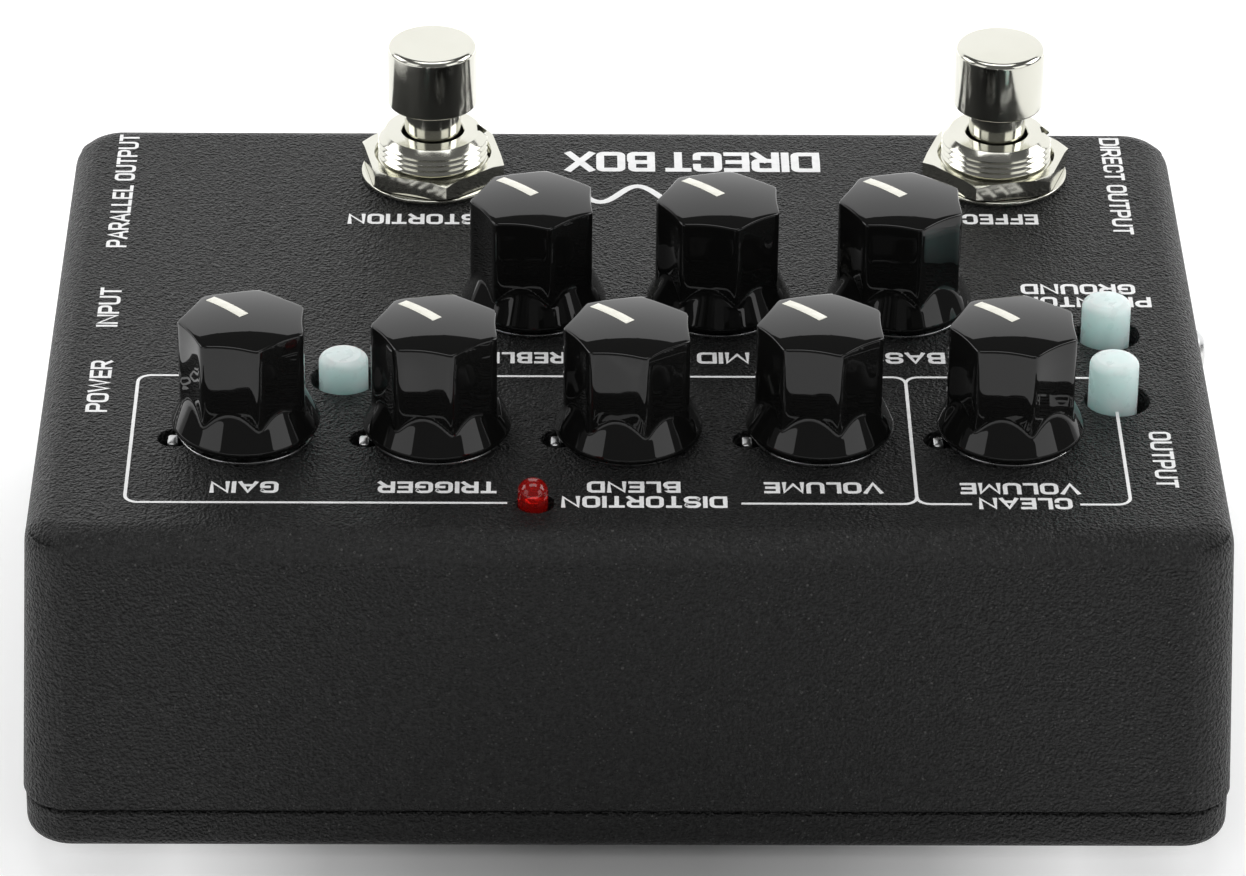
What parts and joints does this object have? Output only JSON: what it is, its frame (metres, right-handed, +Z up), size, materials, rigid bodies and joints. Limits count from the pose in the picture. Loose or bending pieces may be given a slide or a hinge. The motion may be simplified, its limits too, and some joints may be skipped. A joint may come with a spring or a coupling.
{
  "type": "direct injection box",
  "caption": "Black cast floor box with fluted knobs on a flat panel, small push buttons, two footswitches, phone jacks and an XLR output.",
  "frame": {"origin": "under the middle of the box, on the plane of its rubber feet", "axes": "+Z up; +Y towards the knobs, so the player stands on the -Y side by the footswitches and reads the panel from there; +X is the player's right, the input side"},
  "size_m": [0.1222, 0.0896, 0.0542],
  "materials": {
    "powder_coat": "fine-textured black powder coat on die-cast alloy",
    "phenolic": "glossy black moulded knobs",
    "nickel": "polished nickel plate",
    "zinc": "bright zinc plate",
    "foot_rubber": "matt black rubber",
    "black_plastic": "black moulded nylon",
    "aqua_plastic": "pale aqua translucent acrylic",
    "red_lens": "clear red epoxy",
    "board": "green solder mask",
    "battery_wrap": "printed steel jacket, plain"
  },
  "bodies": {
    "chassis": {"enclosure": "powder_coat", "bottom_plate": "powder_coat", "lid_screw_1": "zinc", "lid_screw_2": "zinc", "lid_screw_3": "zinc", "lid_screw_4": "zinc", "rubber_foot_1": "foot_rubber", "rubber_foot_2": "foot_rubber", "rubber_foot_3": "foot_rubber", "rubber_foot_4": "foot_rubber", "potentiometer_gain": "zinc", "potentiometer_trigger": "zinc", "potentiometer_blend": "zinc", "potentiometer_volume": "zinc", "potentiometer_clean_volume": "zinc", "potentiometer_treble": "zinc", "potentiometer_mid": "zinc", "potentiometer_bass": "zinc", "footswitch_body_distortion": "nickel", "footswitch_washer_distortion": "nickel", "footswitch_nut_distortion": "nickel", "footswitch_body_effect": "nickel", "footswitch_washer_effect": "nickel", "footswitch_nut_effect": "nickel", "push_switch_shape": "black_plastic", "push_switch_phantom": "black_plastic", "push_switch_ground": "black_plastic", "status_led": "red_lens", "main_board": "board", "jack_input": "black_plastic", "jack_parallel_output": "black_plastic", "jack_output": "black_plastic", "supply_socket": "black_plastic", "xlr_socket": "zinc", "xlr_screw_1": "zinc", "xlr_screw_2": "zinc", "battery": "battery_wrap", "battery_snap": "black_plastic"},
    "gain_knob": {"knob_gain": "phenolic", "pot_shaft_gain": "zinc"},
    "trigger_knob": {"knob_trigger": "phenolic", "pot_shaft_trigger": "zinc"},
    "blend_knob": {"knob_blend": "phenolic", "pot_shaft_blend": "zinc"},
    "volume_knob": {"knob_volume": "phenolic", "pot_shaft_volume": "zinc"},
    "clean_volume_knob": {"knob_clean_volume": "phenolic", "pot_shaft_clean_volume": "zinc"},
    "treble_knob": {"knob_treble": "phenolic", "pot_shaft_treble": "zinc"},
    "mid_knob": {"knob_mid": "phenolic", "pot_shaft_mid": "zinc"},
    "bass_knob": {"knob_bass": "phenolic", "pot_shaft_bass": "zinc"},
    "distortion_stomp": {"stomp_button_distortion": "nickel"},
    "effect_stomp": {"stomp_button_effect": "nickel"},
    "shape_button": {"push_button_shape": "aqua_plastic"},
    "phantom_button": {"push_button_phantom": "aqua_plastic"},
    "ground_button": {"push_button_ground": "aqua_plastic"}
  },
  "joints": [
    {"name": "gain_turn", "type": "hinge", "parent": "chassis", "child": "gain_knob", "pos_m": [0.0381, 0.023, 0.03875], "axis": [0, 0, 1], "range_deg": [0, 280]},
    {"name": "trigger_turn", "type": "hinge", "parent": "chassis", "child": "trigger_knob", "pos_m": [0.01905, 0.023, 0.03875], "axis": [0, 0, 1], "range_deg": [0, 280]},
    {"name": "blend_turn", "type": "hinge", "parent": "chassis", "child": "blend_knob", "pos_m": [0, 0.023, 0.03875], "axis": [0, 0, 1], "range_deg": [0, 280]},
    {"name": "volume_turn", "type": "hinge", "parent": "chassis", "child": "volume_knob", "pos_m": [-0.01905, 0.023, 0.03875], "axis": [0, 0, 1], "range_deg": [0, 280]},
    {"name": "clean_volume_turn", "type": "hinge", "parent": "chassis", "child": "clean_volume_knob", "pos_m": [-0.0381, 0.023, 0.03875], "axis": [0, 0, 1], "range_deg": [0, 280]},
    {"name": "treble_turn", "type": "hinge", "parent": "chassis", "child": "treble_knob", "pos_m": [0.00953, -0.0029, 0.03875], "axis": [0, 0, 1], "range_deg": [0, 280]},
    {"name": "mid_turn", "type": "hinge", "parent": "chassis", "child": "mid_knob", "pos_m": [-0.00953, -0.0029, 0.03875], "axis": [0, 0, 1], "range_deg": [0, 280]},
    {"name": "bass_turn", "type": "hinge", "parent": "chassis", "child": "bass_knob", "pos_m": [-0.0282, -0.0029, 0.03875], "axis": [0, 0, 1], "range_deg": [0, 280]},
    {"name": "distortion_press", "type": "slide", "parent": "chassis", "child": "distortion_stomp", "axis": [0, 0, -1], "range_m": [0, 0.0025], "stiffness_N_per_m": 2000},
    {"name": "effect_press", "type": "slide", "parent": "chassis", "child": "effect_stomp", "axis": [0, 0, -1], "range_m": [0, 0.0025], "stiffness_N_per_m": 2000},
    {"name": "shape_push", "type": "slide", "parent": "chassis", "child": "shape_button", "axis": [0, 0, -1], "range_m": [-0.002, 0.0004], "stiffness_N_per_m": 500},
    {"name": "phantom_push", "type": "slide", "parent": "chassis", "child": "phantom_button", "axis": [0, 0, -1], "range_m": [0, 0.0015], "stiffness_N_per_m": 500},
    {"name": "ground_push", "type": "slide", "parent": "chassis", "child": "ground_button", "axis": [0, 0, -1], "range_m": [0, 0.0024], "stiffness_N_per_m": 500}
  ]
}
